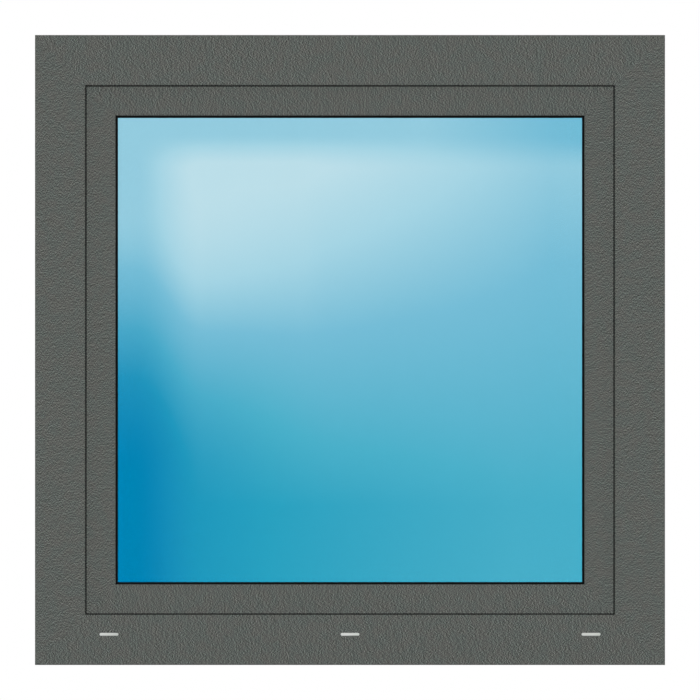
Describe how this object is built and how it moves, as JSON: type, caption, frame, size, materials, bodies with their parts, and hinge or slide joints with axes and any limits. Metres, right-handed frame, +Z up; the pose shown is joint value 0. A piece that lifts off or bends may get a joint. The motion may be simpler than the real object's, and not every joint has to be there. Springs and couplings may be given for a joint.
{
  "type": "window",
  "caption": "Square window with a mitred hollow plastic frame in grained grey film, a rebated double-glazed sash, rubber seals, glazing beads, hooded weep caps, handle and hinges.",
  "frame": {"origin": "middle of the frame's underside, in the middle of the frame's depth", "axes": "+X to the right as seen from outside, +Y from the outside face towards the room, +Z up"},
  "size_m": [0.9, 0.1342, 0.9],
  "materials": {
    "foiled_profile": "grey laminate film with a fine pressed grain",
    "rubber": "matt black",
    "tinted_glass": "polished",
    "clear_glass": "polished",
    "spacer_bar": "mill",
    "block_plastic": "matt",
    "cap_plastic": "matt pale grey",
    "handle_metal": "satin anodised",
    "hinge_metal": "satin grey"
  },
  "bodies": {
    "root": {"frame_bottom": "foiled_profile", "frame_top": "foiled_profile", "frame_left": "foiled_profile", "frame_right": "foiled_profile", "sash_bottom_rail": "foiled_profile", "sash_top_rail": "foiled_profile", "sash_left_stile": "foiled_profile", "sash_right_stile": "foiled_profile", "bead_bottom": "foiled_profile", "bead_top": "foiled_profile", "bead_left": "foiled_profile", "bead_right": "foiled_profile", "frame_seal": "rubber", "sash_seal": "rubber", "outer_glazing_gasket": "rubber", "inner_glazing_gasket": "rubber", "outer_pane": "tinted_glass", "inner_pane": "clear_glass", "glass_spacer": "spacer_bar", "setting_block_left": "block_plastic", "setting_block_right": "block_plastic", "drain_cap_left": "cap_plastic", "drain_cap_middle": "cap_plastic", "drain_cap_right": "cap_plastic", "handle_rosette": "handle_metal", "handle_lever": "handle_metal", "upper_hinge_frame_leaf": "hinge_metal", "upper_hinge_sash_leaf": "hinge_metal", "lower_hinge_frame_leaf": "hinge_metal", "lower_hinge_sash_leaf": "hinge_metal"}
  },
  "joints": []
}
